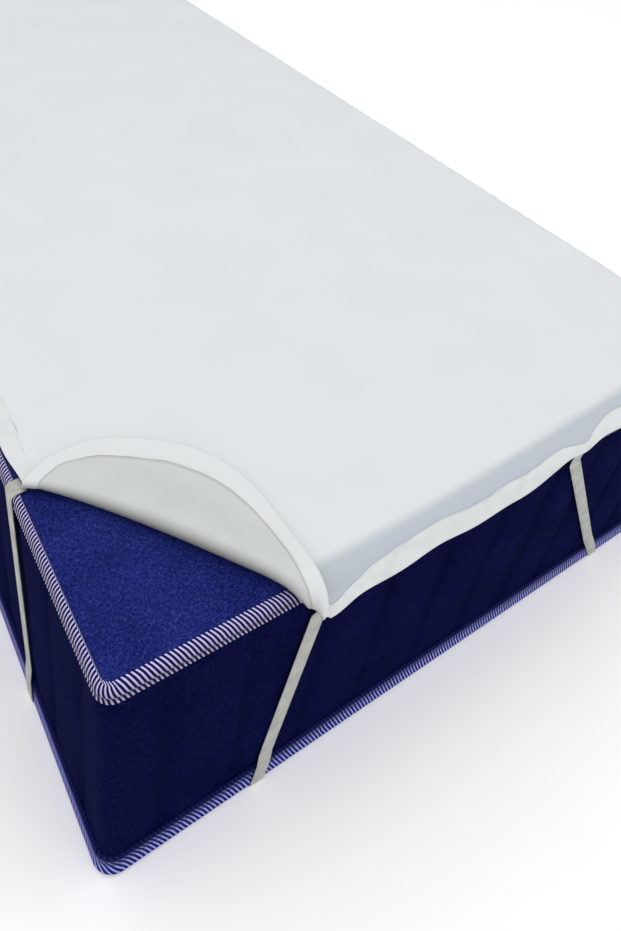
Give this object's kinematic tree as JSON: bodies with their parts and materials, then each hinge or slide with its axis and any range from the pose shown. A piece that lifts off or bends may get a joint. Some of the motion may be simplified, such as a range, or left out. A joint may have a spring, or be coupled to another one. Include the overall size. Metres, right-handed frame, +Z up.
{
  "type": "mattress pad on a mattress",
  "caption": "Thin white waterproof pad held on a blue mattress by corner elastics, one corner folded back to show its smooth underside.",
  "frame": {"origin": "centre of the mattress's underside, on the floor", "axes": "+Z up; +Y along the mattress from the end with the folded corner; +X across it to the right"},
  "size_m": [0.8122, 2.0358, 0.3206],
  "materials": {
    "ticking": "navy woven mattress ticking with an upright quilted border",
    "tape": "navy and pale lavender striped edge tape",
    "pad_cloth": "smooth white cloth with a satin waterproof underside",
    "elastic": "flat greyish white ribbed elastic"
  },
  "bodies": {
    "root": {"mattress_body": "ticking", "top_tape": "tape", "bottom_tape": "tape", "pad_sheet": "pad_cloth", "strap_front_left": "elastic", "strap_front_right": "elastic", "strap_back_left": "elastic", "strap_back_right": "elastic"}
  },
  "joints": []
}
